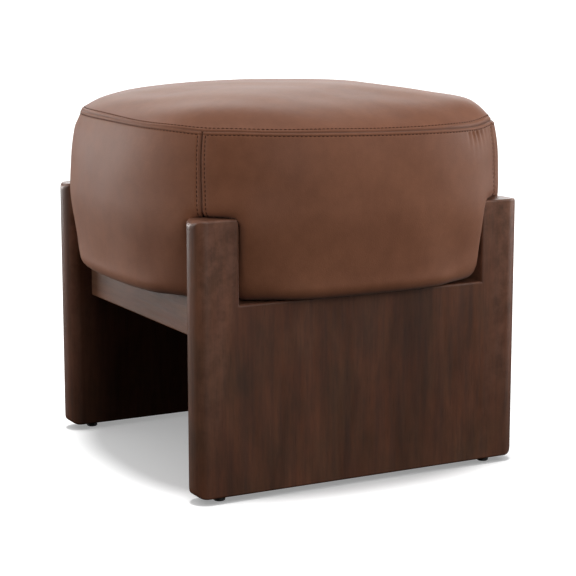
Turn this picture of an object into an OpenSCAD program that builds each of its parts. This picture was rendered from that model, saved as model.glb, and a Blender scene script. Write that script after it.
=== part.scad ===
// Square-round upholstered pouf on two U-shaped wooden side panels.
// X runs across the two panels, Y along them with the open front towards -Y, and Z up.
// The origin is on the floor, at the centre of the footprint. All sizes are in millimetres.

/* [Wooden base] */
// Overall width across the outer faces of the two side panels
base_w = 422; // [400:1:440]
// Length of a side panel from its front end to its rear end
panel_len = 436; // [424:1:448]
// Thickness of a side panel; its ends are full half-rounds of this width
panel_t = 36; // [32:1:40]
// Height of the underside of the panels above the floor
panel_foot_z = 7; // [6:0.5:10]
// Height of the low edge of a panel, between its two posts
low_edge_z = 229; // [220:1:240]
// Height of the tops of the posts
post_top_z = 327; // [315:1:335]
// Width of a post, measured along the panel
post_w = 55; // [48:1:60]
// Corner radius at the bottom of a panel, seen from the side
panel_bottom_r = 14; // [8:1:20]
// Corner radius at the outer top of a post, seen from the side
post_top_r = 9; // [4:1:12]
// Height of the underside of the two rails
rail_bottom_z = 180; // [170:1:190]
// Thickness of a rail
rail_t = 22; // [18:1:24]
// Distance from the end of a panel back to the face of a rail
rail_setback = 32; // [28:1:38]

/* [Cushion] */
// Overall size of the cushion at its widest height, the same both ways
cushion_w = 500; // [480:1:520]
// Overall height of the pouf at the middle of the crowned top
overall_h = 455; // [440:1:470]
// Height of the seam between the top panel and the side panels
seam_z = 424; // [415:1:430]
// Height at which the sides are widest
widest_z = 348; // [335:1:360]
// Squareness of the cushion's plan: 2 is a circle, larger is squarer
plan_power = 2.5; // [2.3:0.1:3]
// Thickness of the leather
leather_t = 1.4; // [1:0.1:2]
// Thickness of the polyester fibre wrap under the leather
fibre_t = 10; // [8:0.5:12]

/* [Seat frame] */
// Overall size of the plywood deck, the same both ways
deck_w = 420; // [400:1:424]
// Thickness of the plywood deck and of the upper ring
ply_t = 15; // [12:1:18]
// Height of the top of the upper ring, where the webbing lies
ring_top_z = 331; // [320:1:340]

/* [Levelling glides] */
// Diameter of a glide's plastic pad
pad_d = 14; // [12:0.5:18]
// Distance from the end of a panel to the axis of a glide
glide_inset = 36.5; // [32:0.5:45]
// Thread diameter of a glide's stem
stem_d = 6; // [5:1:8]
// How far a glide screws out
glide_travel = 10; // [6:1:12]

/* [Hidden] */
$fn = 48;

walnut = [0.24, 0.16, 0.12];
beech = [0.78, 0.62, 0.44];
plywood = [0.82, 0.70, 0.52];
leather = [0.42, 0.27, 0.20];
steel = [0.62, 0.62, 0.64];
black = [0.06, 0.06, 0.06];

// Base, worked out from the driving sizes
inner_x = base_w / 2 - panel_t;
panel_x = base_w / 2 - panel_t / 2;
post_y = panel_len / 2 - post_w;
staple_t = 0.6;
deck_z = low_edge_z + staple_t + leather_t;
rail_face_y = panel_len / 2 - rail_setback;
rail_y = rail_face_y - rail_t / 2;
cleat_w = 22;
cleat_h = 30;
cleat_len = 2 * (rail_face_y - rail_t);
cleat_x = inner_x - cleat_w / 2;
through = 400;

// Fasteners
dowel_d = 8;
dowel_len = 40;
dowel_zs = [rail_bottom_z + 16, rail_bottom_z + 36];
wood_screw_d = 4;
wood_screw_len = 35;
wood_screw_head_d = 8;
wood_screw_head_h = 2.4;
wood_screw_tip_len = 4;
wood_screw_tip_d = 0.8;
screw_play = 0.5;
cleat_screw_ys = [-140, -45, 45, 140];
cleat_screw_z = deck_z - 15;
deck_screw_d = 4.5;
deck_screw_len = 40;
deck_screw_head_d = 9;
deck_screw_head_h = 3;
deck_screw_ys = [-110, 0, 110];
washer_t = 1;
washer_d = 12;

// Cushion: how far its sides pull in at the seam and low down, and how its edges round
seam_inset = 13;
side_bow = 2.2;
low_inset = 8;
low_reach = 80;
bottom_round = 18;
crown_power = 4;
crown_sweep = 84;
least_half = 6;
around = 48;
bottom_rings = 4;
side_rings = 6;
crown_rings = 7;
bottom_z = low_edge_z + staple_t;
notch_gap = 0.4;
foam_inset = leather_t + fibre_t;
turn_under = 23;
// Room between the cushion's layers and the wood under them
clear = 0.2;
// Keeps the top rings of an inner layer a little apart in height
ring_step = 0.001;
// How far a cutting shape runs past the face that it cuts
past = 1;

// Seat frame
ring_bottom_z = ring_top_z - ply_t;
block_h = ring_bottom_z - deck_z - ply_t;
ring_w = deck_w - 10;
ring_opening_w = 300;
strap_w = 50;
strap_t = 1.2;
strap_places = [-105, -35, 35, 105];
strap_end_margin = 8;
strap_staple_inset = 5;
strap_staple_apart = 14;
webbing_room_below = 1;
staple_crown = 10;
staple_wire_w = 1.2;
staple_leg_w = 1;
staple_leg = 8;
cover_staple_places = [-75, -45, -15, 15, 45, 75];
cover_staple_inset = 8;
side_screws_apart = 14;
corner_screws_apart = 10;
air_hole_d = 25;
air_hole_at = 60;
dust_cover_t = 0.6;
dust_cover_gap = 2;

// Glides: the pad stands on the floor and the stem's collar bears on the insert
pad_h = 4.4;
pad_chamfer = 1;
collar_h = panel_foot_z - pad_h;
collar_d = 10;
pivot_d = 5;
pivot_h = 2.6;
pivot_end_gap = 0.2;
running = 0.05;
thread_gap = 0.1;
insert_d = 10;
insert_len = 20;
thread_left = 15;
stem_len = thread_left + glide_travel;
hole_spare = 9;
glide_hole_len = stem_len + hole_spare;
glide_y = panel_len / 2 - glide_inset;

// ---- outlines ----------------------------------------------------------------

// Distance from the centre to a square-round outline of half size h, at angle a
function reach(h, a, p = plan_power) =
    h / pow(pow(abs(cos(a)), p) + pow(abs(sin(a)), p), 1 / p);

function outline(h, p = plan_power, count = around) =
    [for (i = [0:count - 1]) let (a = 360 * i / count) reach(h, a, p) * [cos(a), sin(a)]];

// Half width of a square-round outline of half size h, at distance v from its centre line
function half_at(h, v, p = plan_power) = h * pow(1 - pow(abs(v) / h, p), 1 / p);

// From 0 to 1 without a kink at either end
function smooth(s) = s >= 1 ? 1 : s * s * (3 - 2 * s);

// How far the side is inside its widest place, at height z
function side_inset(z) = z > widest_z
    ? seam_inset * pow((z - widest_z) / (seam_z - widest_z), side_bow)
    : low_inset * smooth((widest_z - z) / low_reach);

// Height and half size of each ring of points over the cushion, from the bottom to the crown
function cushion_rings() = concat(
    [for (i = [0:bottom_rings])
        let (a = 90 * i / bottom_rings, z = bottom_z + bottom_round * (1 - cos(a)))
        [z, cushion_w / 2 - side_inset(z) - bottom_round * (1 - sin(a))]],
    [for (i = [1:side_rings])
        let (z = bottom_z + bottom_round + (seam_z - bottom_z - bottom_round) * i / side_rings)
        [z, cushion_w / 2 - side_inset(z)]],
    [for (i = [1:crown_rings])
        let (k = cos(crown_sweep * i / crown_rings))
        [seam_z + (overall_h - seam_z) * (1 - pow(k, crown_power)),
         (cushion_w / 2 - seam_inset) * k]]
);

// The same ring, taken inwards by t
function ring_in(r, t) = [
    min(max(r[0], bottom_z + t), overall_h - t - ring_step * (overall_h - r[0])),
    max(r[1] - t, least_half)
];

// ---- cushion -----------------------------------------------------------------

// Closed form of the cushion, taken inwards by t, before the posts' notches
module cushion_blank(t) {
    rings = [for (r = cushion_rings()) ring_in(r, t)];
    count = len(rings);
    points = concat(
        [for (r = rings) for (q = outline(r[1])) [q[0], q[1], r[0] - (r[0] > seam_z ? t * ring_step : 0)]],
        [[0, 0, bottom_z + t], [0, 0, overall_h - t]]
    );
    low = count * around;
    walls = [for (j = [0:count - 2]) for (i = [0:around - 1])
        let (k = (i + 1) % around)
        each [[j * around + i, (j + 1) * around + i, (j + 1) * around + k],
              [j * around + i, (j + 1) * around + k, j * around + k]]];
    floor_fan = [for (i = [0:around - 1]) [low, i, (i + 1) % around]];
    crown_fan = [for (i = [0:around - 1])
        [low + 1, (count - 1) * around + (i + 1) % around, (count - 1) * around + i]];
    polyhedron(points, concat(walls, floor_fan, crown_fan), convexity = 6);
}

// The room that the four posts take out of the cushion's corners
module post_notches(t) {
    x = inner_x - notch_gap - t;
    y = post_y - notch_gap - t;
    for (sx = [-1, 1], sy = [-1, 1])
        scale([sx, sy, 1]) translate([x, y, 0]) cube([through, through, post_top_z + notch_gap + t]);
}

module cushion_form(t) {
    difference() {
        cushion_blank(t);
        post_notches(t);
    }
}

// One layer of the cushion, between the insets a and b
module cushion_layer(a, b) {
    difference() {
        cushion_form(a);
        cushion_form(b);
    }
}

module prism(w, z0, z1) {
    translate([0, 0, z0]) linear_extrude(height = z1 - z0) polygon(outline(w / 2));
}

// The room that the base takes between its panels and rails, up to the height top
module base_room(top) {
    translate([-inner_x - clear, -rail_face_y - clear, 0])
        cube([2 * (inner_x + clear), 2 * (rail_face_y + clear), top]);
}

// The leather, open underneath where the deck rests on the rails and cleats
module leather_shell() {
    difference() {
        cushion_layer(0, leather_t);
        prism(deck_w - 2 * turn_under, 0, deck_z + past);
        base_room(deck_z + past);
    }
}

// A quarter of the plan, centred on the direction a
module quarter(a) {
    rotate([0, 0, a]) linear_extrude(height = seam_z)
        polygon([[0, 0], [through, -through], [through, through]]);
}

module leather_side(a) {
    color(leather) intersection() {
        leather_shell();
        quarter(a);
    }
}

module cover_top() {
    color(leather) difference() {
        cushion_layer(0, leather_t);
        translate([-through, -through, 0]) cube([2 * through, 2 * through, seam_z]);
    }
}

module fibre_wrap() {
    color([0.93, 0.92, 0.9]) difference() {
        cushion_layer(leather_t, foam_inset);
        prism(deck_w, 0, deck_z + ply_t);
        base_room(deck_z + clear);
    }
}

module foam_sides() {
    color([0.9, 0.86, 0.6]) difference() {
        cushion_form(foam_inset);
        prism(ring_w, 0, through);
        prism(deck_w, 0, deck_z + ply_t);
        translate([-through, -through, ring_top_z]) cube(2 * through);
    }
}

module foam_seat() {
    color([0.95, 0.9, 0.7]) difference() {
        cushion_form(foam_inset);
        translate([-through, -through, 0]) cube([2 * through, 2 * through, ring_top_z]);
        webbing_and_staples_room();
    }
}

// Shallow room under the seat foam for the straps and the staples that hold them
module webbing_and_staples_room() {
    translate([0, 0, ring_top_z - webbing_room_below])
        linear_extrude(height = webbing_room_below + 2 * strap_t + staple_t)
            polygon(outline(ring_w / 2));
}

module dust_cover() {
    w = 2 * (inner_x - cleat_w - dust_cover_gap);
    len = cleat_len - 2 * dust_cover_gap;
    color(black) translate([-w / 2, -len / 2, deck_z - dust_cover_t]) cube([w, len, dust_cover_t]);
}

// ---- wooden base -------------------------------------------------------------

// Side view of a panel without its gap, in Y and Z
module panel_side_view() {
    half = panel_len / 2;
    br = panel_bottom_r;
    tr = post_top_r;
    translate([-half, panel_foot_z + br]) square([panel_len, post_top_z - panel_foot_z - br - tr]);
    translate([-half + br, panel_foot_z]) square([panel_len - 2 * br, br]);
    translate([-half + tr, post_top_z - tr]) square([panel_len - 2 * tr, tr]);
    for (s = [-1, 1]) {
        translate([s * (half - br), panel_foot_z + br]) circle(br);
        translate([s * (half - tr), post_top_z - tr]) circle(tr);
    }
}

// The plan of a panel: straight faces with half-round ends
module panel_plan() {
    square([panel_t, panel_len - panel_t], center = true);
    for (s = [-1, 1]) translate([0, s * (panel_len - panel_t) / 2]) circle(panel_t / 2);
}

// A side panel on the +X side, with its dowel, screw and glide holes
module panel_blank() {
    difference() {
        intersection() {
            translate([inner_x, 0, 0]) rotate([90, 0, 90]) linear_extrude(height = panel_t) {
                difference() {
                    panel_side_view();
                    translate([-post_y, low_edge_z]) square([2 * post_y, through]);
                }
            }
            translate([panel_x, 0, 0]) linear_extrude(height = through) panel_plan();
        }
        right_dowels();
        right_cleat_screws();
        for (s = [-1, 1]) translate([panel_x, s * glide_y, 0])
            cylinder(d = insert_d, h = panel_foot_z + glide_hole_len);
    }
}

module panel_right() { color(walnut) panel_blank(); }
module panel_left() { color(walnut) mirror([1, 0, 0]) panel_blank(); }

// A rail at the front or rear, side = -1 or 1, with its dowel holes
module rail(side) {
    color(walnut) difference() {
        translate([-inner_x, side * rail_y - rail_t / 2, rail_bottom_z])
            cube([2 * inner_x, rail_t, deck_z - rail_bottom_z]);
        rail_dowel_set();
    }
}

// The batten along the inside of the right panel, which carries the deck
module cleat_blank() {
    difference() {
        translate([inner_x - cleat_w, -cleat_len / 2, deck_z - cleat_h])
            cube([cleat_w, cleat_len, cleat_h]);
        right_cleat_screws();
        for (y = deck_screw_ys) translate([cleat_x, y, 0])
            cylinder(d = deck_screw_d + screw_play, h = through);
    }
}

module cleat_right() { color(beech) cleat_blank(); }
module cleat_left() { color(beech) mirror([1, 0, 0]) cleat_blank(); }

module right_dowels() {
    for (s = [-1, 1], z = dowel_zs)
        translate([inner_x - dowel_len / 2, s * rail_y, z])
            rotate([0, 90, 0]) cylinder(d = dowel_d, h = dowel_len);
}

module rail_dowel_set() {
    right_dowels();
    mirror([1, 0, 0]) right_dowels();
}

module rail_dowels() { color(beech) rail_dowel_set(); }

// ---- fasteners ---------------------------------------------------------------

// Countersunk wood screw along +Z, its head flush with z = 0
module wood_screw(length) {
    cylinder(d1 = wood_screw_head_d, d2 = wood_screw_d, h = wood_screw_head_h);
    shank_len = length - wood_screw_tip_len;
    cylinder(d = wood_screw_d, h = shank_len);
    translate([0, 0, shank_len])
        cylinder(d1 = wood_screw_d, d2 = wood_screw_tip_d, h = wood_screw_tip_len);
}

module right_cleat_screws() {
    for (y = cleat_screw_ys)
        translate([inner_x - cleat_w, y, cleat_screw_z]) rotate([0, 90, 0]) wood_screw(wood_screw_len);
}

module cleat_screws() {
    color(steel) {
        right_cleat_screws();
        mirror([1, 0, 0]) right_cleat_screws();
    }
}

// Where each deck screw comes up through a cleat
module at_deck_screws() {
    for (s = [-1, 1], y = deck_screw_ys)
        translate([s * cleat_x, y, deck_z - cleat_h]) children();
}

module deck_screw_shank() {
    translate([0, 0, -washer_t]) cylinder(d = deck_screw_d, h = deck_screw_len);
}

module deck_screws() {
    color(steel) at_deck_screws() {
        deck_screw_shank();
        translate([0, 0, -washer_t - deck_screw_head_h])
            cylinder(d = deck_screw_head_d, h = deck_screw_head_h);
    }
}

module deck_washers() {
    color(steel) at_deck_screws() translate([0, 0, -washer_t]) difference() {
        cylinder(d = washer_d, h = washer_t);
        translate([0, 0, -past]) cylinder(d = deck_screw_d + screw_play, h = washer_t + 2 * past);
    }
}

// ---- seat frame --------------------------------------------------------------

// Middle and size of each block between the deck and the ring: four sides, four corners
side_block = [30, 80];
corner_block = [40, 40];
side_block_at = ring_w / 2 - 25;
corner_block_at = 130;

module at_blocks() {
    for (a = [0:90:270]) rotate([0, 0, a]) {
        translate([side_block_at, 0, 0]) children(0);
        translate([corner_block_at, corner_block_at, 0]) children(1);
    }
}

module block_screws() {
    at_blocks() {
        one_block_screws(side_screws_apart);
        one_block_screws(corner_screws_apart);
    }
}

// One screw up through the deck and one down through the ring, a little apart
module one_block_screws(apart) {
    translate([0, -apart, deck_z]) wood_screw(wood_screw_len);
    translate([0, apart, ring_top_z]) mirror([0, 0, 1]) wood_screw(wood_screw_len);
}

module frame_screws() { color(steel) block_screws(); }

module block(size) {
    translate([-size[0] / 2, -size[1] / 2, deck_z + ply_t]) cube([size[0], size[1], block_h]);
}

module frame_blocks() {
    color(beech) difference() {
        at_blocks() {
            block(side_block);
            block(corner_block);
        }
        block_screws();
    }
}

module seat_deck() {
    color(plywood) difference() {
        prism(deck_w, deck_z, deck_z + ply_t);
        at_deck_screws() deck_screw_shank();
        block_screws();
        for (sx = [-1, 1], sy = [-1, 1])
            translate([sx * air_hole_at, sy * air_hole_at, 0]) cylinder(d = air_hole_d, h = through);
    }
}

module frame_ring() {
    color(plywood) difference() {
        prism(ring_w, ring_bottom_z, ring_top_z);
        prism(ring_opening_w, ring_bottom_z - past, ring_top_z + past);
        block_screws();
    }
}

// Half length of the strap at place v, ending short of the ring's edge
function strap_half(v) = half_at(ring_w / 2, abs(v) + strap_w / 2) - strap_end_margin;

module straps() {
    for (v = strap_places)
        translate([-strap_half(v), v - strap_w / 2, 0]) cube([2 * strap_half(v), strap_w, strap_t]);
}

module webbing_across() { color(black) translate([0, 0, ring_top_z]) straps(); }
module webbing_along() {
    color(black) translate([0, 0, ring_top_z + strap_t]) rotate([0, 0, 90]) straps();
}

// A staple with its crown along Y from z = 0 up, and its legs down by leg
module staple(leg) {
    half_w = staple_wire_w / 2;
    translate([-half_w, -staple_crown / 2, 0]) cube([staple_wire_w, staple_crown, staple_t]);
    for (y = [-staple_crown / 2, staple_crown / 2 - staple_leg_w])
        translate([-half_w, y, -leg]) cube([staple_wire_w, staple_leg_w, leg + staple_t / 2]);
}

// Two staples across each end of every strap
module strap_staples(leg) {
    for (v = strap_places, e = [-1, 1], s = [-1, 1])
        translate([e * (strap_half(v) - strap_staple_inset), v + s * strap_staple_apart, strap_t])
            staple(leg);
}

module webbing_staples() {
    color(steel) {
        translate([0, 0, ring_top_z]) strap_staples(staple_leg);
        translate([0, 0, ring_top_z + strap_t]) rotate([0, 0, 90]) strap_staples(staple_leg + strap_t);
    }
}

// Staples along the turned-under leather, up into the deck
module cover_staples() {
    color(steel) for (a = [0:90:270], v = cover_staple_places)
        rotate([0, 0, a])
            translate([half_at(deck_w / 2 - cover_staple_inset, v), v, low_edge_z + staple_t])
                mirror([0, 0, 1]) staple(staple_leg);
}

// ---- levelling glides --------------------------------------------------------

module at_glides() {
    for (sx = [-1, 1], sy = [-1, 1]) translate([sx * panel_x, sy * glide_y, 0]) children();
}

module glide_inserts() {
    color(steel) at_glides() translate([0, 0, panel_foot_z]) difference() {
        cylinder(d = insert_d, h = insert_len);
        translate([0, 0, -past])
            cylinder(d = stem_d + 2 * thread_gap, h = insert_len + 2 * past);
    }
}

// Plastic pad with a blind socket for the stem's pivot, standing on the floor
module glide_pad(sx, sy) {
    color(black) translate([sx * panel_x, sy * glide_y, 0]) difference() {
        union() {
            cylinder(d1 = pad_d - 2 * pad_chamfer, d2 = pad_d, h = pad_chamfer);
            translate([0, 0, pad_chamfer]) cylinder(d = pad_d, h = pad_h - pad_chamfer);
        }
        translate([0, 0, pad_h - pivot_h - pivot_end_gap])
            cylinder(d = pivot_d + 2 * running, h = through);
    }
}

// Steel stem: pivot in the pad, collar against the insert, shank up inside the panel
module glide_stem(sx, sy) {
    color(steel) translate([sx * panel_x, sy * glide_y, 0]) {
        translate([0, 0, pad_h - pivot_h]) cylinder(d = pivot_d, h = pivot_h + collar_h / 2);
        translate([0, 0, pad_h]) cylinder(d = collar_d, h = collar_h);
        translate([0, 0, pad_h]) cylinder(d = stem_d, h = collar_h + stem_len);
    }
}

// ---- what each node draws ----------------------------------------------------

panel_right();
panel_left();
rail(-1);  // rail_front
rail(1);  // rail_rear
cleat_right();
cleat_left();
rail_dowels();
cleat_screws();
deck_screws();
deck_washers();
seat_deck();
frame_blocks();
frame_ring();
frame_screws();
webbing_across();
webbing_along();
webbing_staples();
foam_sides();
foam_seat();
fibre_wrap();
cover_top();
leather_side(-90);  // cover_front
leather_side(90);  // cover_rear
leather_side(0);  // cover_right
leather_side(180);  // cover_left
cover_staples();
dust_cover();
glide_inserts();
glide_pad(1, -1);  // glide_pad_fr
glide_pad(-1, -1);  // glide_pad_fl
glide_pad(1, 1);  // glide_pad_rr
glide_pad(-1, 1);  // glide_pad_rl
glide_stem(1, -1);  // glide_stem_fr
glide_stem(-1, -1);  // glide_stem_fl
glide_stem(1, 1);  // glide_stem_rr
glide_stem(-1, 1);  // glide_stem_rl
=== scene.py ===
import math

import bmesh
import bpy
import numpy as np
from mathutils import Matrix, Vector


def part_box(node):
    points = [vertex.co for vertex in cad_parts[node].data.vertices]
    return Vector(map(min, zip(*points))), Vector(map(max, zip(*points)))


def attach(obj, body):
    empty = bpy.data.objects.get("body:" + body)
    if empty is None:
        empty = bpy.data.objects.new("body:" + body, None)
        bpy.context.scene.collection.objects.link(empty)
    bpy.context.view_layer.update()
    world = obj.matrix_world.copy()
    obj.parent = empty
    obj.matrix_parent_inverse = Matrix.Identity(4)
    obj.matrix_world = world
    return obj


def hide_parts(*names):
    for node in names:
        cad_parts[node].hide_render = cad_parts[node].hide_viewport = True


# A square-round leather pouf on two U-shaped wooden side panels. Metres, +Z up, front towards -Y.

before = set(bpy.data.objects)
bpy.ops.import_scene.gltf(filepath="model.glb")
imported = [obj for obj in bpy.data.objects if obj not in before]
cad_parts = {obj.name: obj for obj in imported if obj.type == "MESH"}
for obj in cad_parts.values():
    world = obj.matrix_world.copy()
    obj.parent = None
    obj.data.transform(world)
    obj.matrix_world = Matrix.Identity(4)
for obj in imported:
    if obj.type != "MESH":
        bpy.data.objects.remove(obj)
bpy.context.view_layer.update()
scene = bpy.context.scene
ROOT = "base_and_seat"

# ---- sizes read from the frame ---------------------------

panel_low, panel_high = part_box("panel_right")
cover_low, cover_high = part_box("cover_right")

# Faces and ends of the side panels, the height of their posts and of the low edge between them
INNER_X = panel_low.x
OUTER_X = panel_high.x
MIDDLE_X = (INNER_X + OUTER_X) / 2
PANEL_T = OUTER_X - INNER_X
HALF_LEN = panel_high.y
FOOT_Z = panel_low.z
POST_TOP = panel_high.z
COVER_CLEAR = 0.0006
LOW_EDGE = cover_low.z - COVER_CLEAR
# Inner face of a post, found from the panel's own points above its low edge
POST_Y = min(abs(v.co.y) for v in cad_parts["panel_right"].data.vertices if v.co.z > LOW_EDGE + 0.02)
RAIL_FACE_Y = abs(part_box("rail_front")[0].y)
DECK_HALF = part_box("seat_deck")[1].x

# ---- small helpers ---------------------------------------


def snapped(size):
    """A size to the nearest tenth of a millimetre, clear of the frame's own rounding."""
    return round(size, 4)


def smooth(s):
    """From 0 to 1 without a kink at either end."""
    s = np.clip(s, 0, 1)
    return s * s * (3 - 2 * s)


def mesh_object(name, points, faces):
    """A smooth-shaded object from lists of points and faces."""
    mesh = bpy.data.meshes.new(name)
    mesh.from_pydata([tuple(map(float, p)) for p in points], [], [tuple(map(int, f)) for f in faces])
    mesh.validate()
    mesh.polygons.foreach_set("use_smooth", [True] * len(mesh.polygons))
    mesh.update()
    obj = bpy.data.objects.new(name, mesh)
    scene.collection.objects.link(obj)
    return obj


def grid_faces(rows, cols, wrap=False, start=0):
    """Quads over a grid of points, row by row; wrap joins the last column to the first."""
    row = np.arange(rows - 1)[:, None]
    col = np.arange(cols if wrap else cols - 1)[None, :]
    nxt = (col + 1) % cols
    quads = np.stack(
        [row * cols + col, row * cols + nxt, (row + 1) * cols + nxt, (row + 1) * cols + col], -1
    )
    return quads.reshape(-1, 4) + start


def grid_normals(p, wrap=False):
    """Unit normals of a grid of points, outwards for rows that go up and columns that go round."""
    if wrap:
        along = np.roll(p, -1, 1) - np.roll(p, 1, 1)
    else:
        along = np.gradient(p, axis=1)
    up = np.gradient(p, axis=0)
    n = np.cross(along, up)
    length = np.linalg.norm(n, axis=2, keepdims=True)
    return n / np.maximum(length, 1e-12)


# ---- node helpers for materials --------------------------

# The colour sockets of a Mix node share their names with its other sockets, so they go by number
MIX_COLOR_INPUTS = (0, 6, 7)
MIX_COLOR_RESULT = 2


class Shader:
    """A material with one Principled shader and a few short ways to add nodes."""

    def __init__(self, name, roughness=0.5, **sockets):
        self.material = bpy.data.materials.new(name)
        self.material.use_nodes = True
        self.tree = self.material.node_tree
        self.shader = self.tree.nodes["Principled BSDF"]
        self.shader.inputs["Roughness"].default_value = roughness
        for key, value in sockets.items():
            self.shader.inputs[key.replace("_", " ")].default_value = value
        self.coord = self.tree.nodes.new("ShaderNodeTexCoord")

    def node(self, kind, **values):
        node = self.tree.nodes.new(kind)
        for key, value in values.items():
            setattr(node, key, value)
        return node

    def link(self, source, target):
        self.tree.links.new(source, target)

    def place(self, stretch=(1, 1, 1)):
        mapping = self.node("ShaderNodeMapping")
        mapping.inputs["Scale"].default_value = stretch
        self.link(self.coord.outputs["Object"], mapping.inputs["Vector"])
        return mapping.outputs["Vector"]

    def noise(self, scale, detail=4.0, rough=0.55, stretch=(1, 1, 1), distortion=0.0):
        node = self.node("ShaderNodeTexNoise")
        node.inputs["Scale"].default_value = scale
        node.inputs["Detail"].default_value = detail
        node.inputs["Roughness"].default_value = rough
        node.inputs["Distortion"].default_value = distortion
        self.link(self.place(stretch), node.inputs["Vector"])
        return node.outputs["Fac"]

    def voronoi(self, scale, feature="F1"):
        node = self.node("ShaderNodeTexVoronoi", feature=feature)
        node.inputs["Scale"].default_value = scale
        self.link(self.place(), node.inputs["Vector"])
        return node.outputs["Distance"]

    def wave(self, scale, direction):
        node = self.node("ShaderNodeTexWave", bands_direction=direction)
        node.inputs["Scale"].default_value = scale
        self.link(self.coord.outputs["Object"], node.inputs["Vector"])
        return node.outputs["Fac"]

    def attribute(self, name):
        """A value stored on the mesh's points."""
        return self.node("ShaderNodeAttribute", attribute_name=name).outputs["Fac"]

    def ramp(self, source, *stops):
        node = self.node("ShaderNodeValToRGB")
        elements = node.color_ramp.elements
        while len(elements) < len(stops):
            elements.new(0.5)
        for element, (place, color) in zip(elements, stops):
            element.position = place
            element.color = (*color, 1)
        self.link(source, node.inputs["Fac"])
        return node.outputs["Color"]

    def feed(self, source, socket):
        """Sets a socket to a number or a colour, or links it."""
        if isinstance(source, (int, float)):
            socket.default_value = source
        elif isinstance(source, tuple):
            socket.default_value = (*source, 1)
        else:
            self.link(source, socket)

    def mix(self, fac, a, b, blend="MIX"):
        node = self.node("ShaderNodeMix", data_type="RGBA", blend_type=blend)
        factor, first, second = (node.inputs[i] for i in MIX_COLOR_INPUTS)
        self.feed(fac, factor)
        self.feed(a, first)
        self.feed(b, second)
        return node.outputs[MIX_COLOR_RESULT]

    def math(self, operation, a, b):
        node = self.node("ShaderNodeMath", operation=operation)
        self.feed(a, node.inputs[0])
        self.feed(b, node.inputs[1])
        return node.outputs[0]

    def span(self, source, low, high, to_low=0.0, to_high=1.0):
        node = self.node("ShaderNodeMapRange")
        for key, value in (("From Min", low), ("From Max", high), ("To Min", to_low), ("To Max", to_high)):
            node.inputs[key].default_value = value
        self.link(source, node.inputs["Value"])
        return node.outputs["Result"]

    def color(self, source):
        self.link(source, self.shader.inputs["Base Color"])

    def roughness(self, source):
        self.link(source, self.shader.inputs["Roughness"])

    def bump(self, source, distance, strength=1.0, under=None):
        node = self.node("ShaderNodeBump")
        node.inputs["Strength"].default_value = strength
        node.inputs["Distance"].default_value = distance
        self.link(source, node.inputs["Height"])
        if under is not None:
            self.link(under, node.inputs["Normal"])
        self.link(node.outputs["Normal"], self.shader.inputs["Normal"])
        return node.outputs["Normal"]


def leather_material():
    """Plain brown leather: cloudy tone, pores, fine creases, and painted shade, a dark line where it turns
    into a seam.
    """
    m = Shader("leather_brown", roughness=0.55, Specular_IOR_Level=0.17, Sheen_Weight=0.06,
               Sheen_Roughness=0.5, Sheen_Tint=(1.0, 0.92, 0.86, 1))
    cloud = m.noise(7, 5, 0.6)
    fine = m.noise(55, 6, 0.7)
    base = m.ramp(cloud, (0.30, (0.163, 0.0615, 0.031)), (0.70, (0.215, 0.0855, 0.0435)))
    tone = m.ramp(fine, (0.3, (0.86, 0.84, 0.82)), (0.7, (1.06, 1.06, 1.06)))
    color = m.mix(0.8, base, tone, "MULTIPLY")
    pores = m.voronoi(1500)
    color = m.mix(m.span(pores, 0.0, 0.5, 0.16, 0.0), color, (0.05, 0.022, 0.014))
    # Painted shade: the leather is darkened along each seam, where the crease lies in shade.
    color = m.mix(m.math("MULTIPLY", m.attribute("seam"), 0.55), color, (0.046, 0.017, 0.011))
    m.color(color)
    m.roughness(m.span(cloud, 0.3, 0.7, 0.55, 0.64))
    grain = m.bump(m.voronoi(900, "SMOOTH_F1"), 0.00025, 0.35)
    m.bump(m.noise(240, 5, 0.7), 0.0003, 0.3, grain)
    return m.material


def walnut_material(name, stretch, painted_sheen_tint=(1.0, 1.0, 1.0)):
    """Dark stained wood, rubbed lighter where the mesh says so; stretch is small along the grain. The tint
    is painted sheen: it lightens and greys the whole wood.
    """
    m = Shader(name, roughness=0.42, Specular_IOR_Level=0.34, Coat_Weight=0.05, Coat_Roughness=0.3)
    bands = m.noise(22, 6, 0.62, tuple(max(s, 0.22) for s in stretch), 0.6)
    streaks = m.noise(150, 5, 0.7, stretch)
    blotch = m.noise(18, 5, 0.65, tuple(max(s, 0.6) for s in stretch))
    base = m.ramp(
        bands,
        (0.25, (0.050, 0.0212, 0.0122)),
        (0.5, (0.082, 0.0362, 0.0206)),
        (0.75, (0.118, 0.0545, 0.0310)),
    )
    hue = m.ramp(blotch, (0.36, (0.82, 0.86, 0.86)), (0.62, (1.22, 1.04, 1.00)))
    color = m.mix(0.9, base, hue, "MULTIPLY")
    dark = m.ramp(streaks, (0.36, (0.72, 0.69, 0.68)), (0.56, (1.04, 1.02, 1.0)))
    color = m.mix(0.85, color, dark, "MULTIPLY")
    pores = m.noise(620, 3, 0.6, stretch)
    color = m.mix(m.span(pores, 0.60, 0.70, 0.0, 0.35), color, (0.016, 0.008, 0.005))
    rubbed = m.span(m.noise(60, 4, 0.65), 0.38, 0.62, 0.15, 0.75)
    worn = m.math("MULTIPLY", m.attribute("wear"), rubbed)
    color = m.mix(worn, color, (0.20, 0.088, 0.054))
    # Painted sheen: the tint lightens and greys the colour.
    color = m.mix(1.0, color, painted_sheen_tint, "MULTIPLY")
    m.color(color)
    m.roughness(m.span(streaks, 0.3, 0.7, 0.48, 0.34))
    height = m.math("ADD", m.math("MULTIPLY", streaks, 0.6), m.math("MULTIPLY", pores, -0.4))
    m.bump(height, 0.0004, 0.35)
    return m.material


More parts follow.
